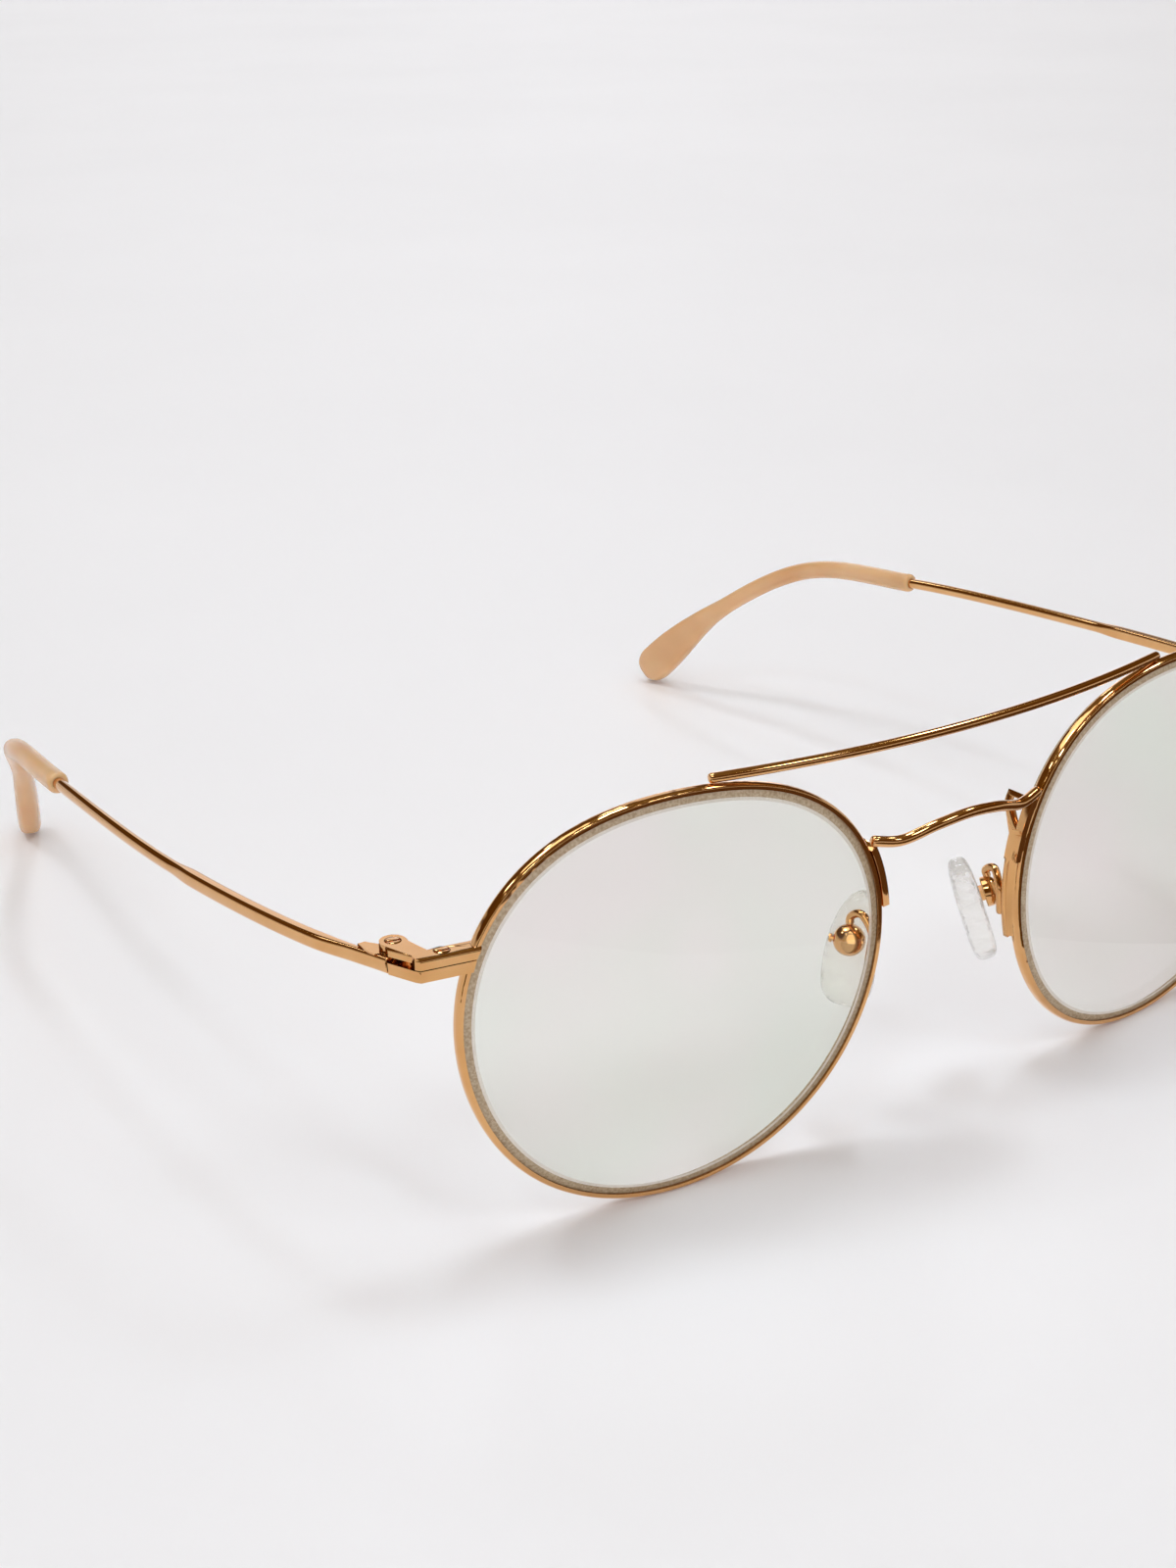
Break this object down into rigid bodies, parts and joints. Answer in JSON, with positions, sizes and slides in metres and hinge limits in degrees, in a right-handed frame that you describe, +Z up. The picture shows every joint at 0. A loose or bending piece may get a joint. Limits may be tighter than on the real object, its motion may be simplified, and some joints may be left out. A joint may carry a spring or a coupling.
{
  "type": "eyeglasses",
  "caption": "Round wire eyeglasses with a double bridge: grooved rims, clear lenses, nose pads that rock and temples that fold on screw hinges.",
  "frame": {"origin": "on the table, under the middle of the open glasses' box", "axes": "+Z up from the table, lenses face -Y, temples run towards +Y, the left lens is on +X"},
  "size_m": [0.1442, 0.1424, 0.0487],
  "materials": {
    "frame_metal": "polished rose gold plating",
    "lens": "clear with ground frosted edge",
    "nose_pad": "clear silicone",
    "temple_tip": "polished tan acetate"
  },
  "bodies": {
    "front": {"brow_bar": "frame_metal", "bridge": "frame_metal", "left_rim": "frame_metal", "left_lens": "lens", "left_bridge_bracket": "frame_metal", "left_end_piece_upper": "frame_metal", "left_end_piece_lower": "frame_metal", "left_closing_screw": "frame_metal", "left_hinge_screw": "frame_metal", "left_pad_arm": "frame_metal", "left_pad_box": "frame_metal", "left_pad_screw": "frame_metal", "right_rim": "frame_metal", "right_lens": "lens", "right_bridge_bracket": "frame_metal", "right_end_piece_upper": "frame_metal", "right_end_piece_lower": "frame_metal", "right_closing_screw": "frame_metal", "right_hinge_screw": "frame_metal", "right_pad_arm": "frame_metal", "right_pad_box": "frame_metal", "right_pad_screw": "frame_metal"},
    "left_temple_arm": {"left_temple": "frame_metal", "left_hinge_leaf": "frame_metal", "left_temple_tip": "temple_tip"},
    "left_pad": {"left_pad_core": "frame_metal", "left_nose_pad": "nose_pad"},
    "right_temple_arm": {"right_temple": "frame_metal", "right_hinge_leaf": "frame_metal", "right_temple_tip": "temple_tip"},
    "right_pad": {"right_pad_core": "frame_metal", "right_nose_pad": "nose_pad"}
  },
  "joints": [
    {"name": "left_temple_fold", "type": "hinge", "parent": "front", "child": "left_temple_arm", "pos_m": [0.06518, -0.0582, 0.02448], "axis": [0, 0, 1], "range_deg": [0, 82]},
    {"name": "right_temple_fold", "type": "hinge", "parent": "front", "child": "right_temple_arm", "pos_m": [-0.06518, -0.0582, 0.02448], "axis": [0, 0, -1], "range_deg": [0, 88]},
    {"name": "left_pad_rock", "type": "hinge", "parent": "front", "child": "left_pad", "pos_m": [0.01107, -0.06338, 0.02288], "axis": [0.5664, 0.8241, 0], "range_deg": [-8, 8]},
    {"name": "right_pad_rock", "type": "hinge", "parent": "front", "child": "right_pad", "pos_m": [-0.01107, -0.06338, 0.02288], "axis": [0.5664, -0.8241, 0], "range_deg": [-8, 8]}
  ]
}
